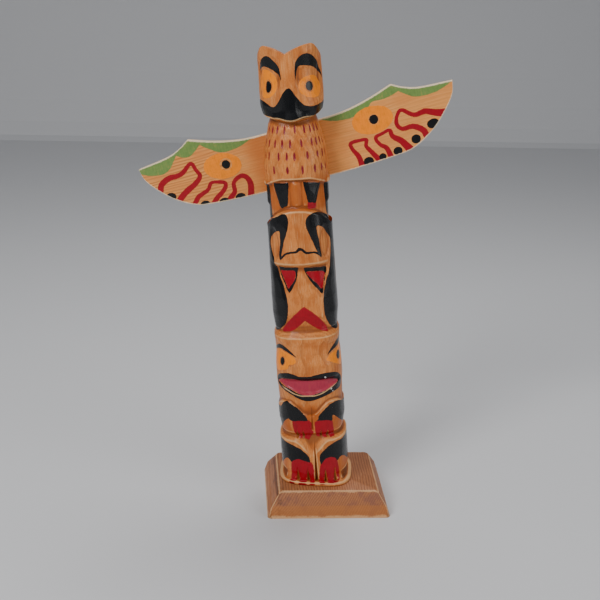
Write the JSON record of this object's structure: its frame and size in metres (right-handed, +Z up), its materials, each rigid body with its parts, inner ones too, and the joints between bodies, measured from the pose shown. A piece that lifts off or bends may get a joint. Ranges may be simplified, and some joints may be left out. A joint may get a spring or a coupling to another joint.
{
  "type": "carved souvenir totem pole",
  "caption": "Small hand-carved wooden totem pole with stacked bird, whale and bear figures, a painted wing board across its back and a sloped-edge wooden plinth.",
  "frame": {"origin": "middle of the plinth's flat underside", "axes": "+Z up from the underside, -Y the figures' front, +X to the right as seen from the front"},
  "size_m": [0.2165, 0.081, 0.3356],
  "materials": {
    "carved_wood": "carved cedar, painted and varnished satin",
    "wing_wood": "sawn cedar board, painted and varnished satin",
    "plinth_wood": "open-grained softwood, thin satin varnish"
  },
  "bodies": {
    "root": {"plinth": "plinth_wood", "pole": "carved_wood", "wing_board": "wing_wood"}
  },
  "joints": []
}
